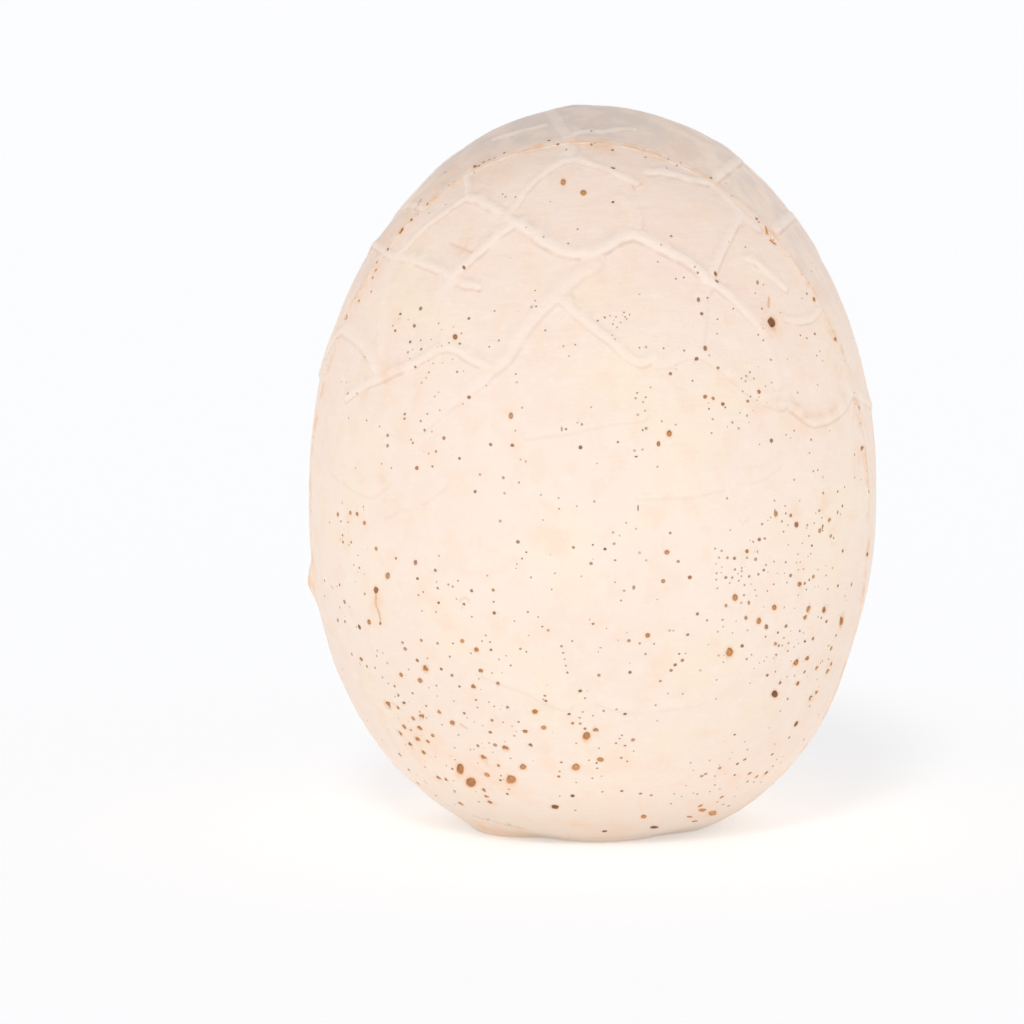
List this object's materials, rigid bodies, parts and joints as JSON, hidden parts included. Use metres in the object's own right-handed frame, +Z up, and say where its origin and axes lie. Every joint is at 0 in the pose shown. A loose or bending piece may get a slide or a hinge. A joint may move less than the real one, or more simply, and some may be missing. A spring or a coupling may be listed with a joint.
{
  "type": "cast ostrich egg",
  "caption": "Egg-shaped plaster casting, blunt end down on a small flat foot, with raised veins, a mould seam over the top and bubble pits; a decorative ornament.",
  "frame": {"origin": "centre of the flat foot that the egg rests on", "axes": "+Z up along the egg's long axis, to its narrower end; -Y out of the front, the side that the picture shows; +X to that side's right"},
  "size_m": [0.1062, 0.1062, 0.1353],
  "materials": {
    "plaster": "matte cream casting plaster with peach tints and brown stain in its pits"
  },
  "bodies": {
    "root": {"egg": "plaster"}
  },
  "joints": []
}
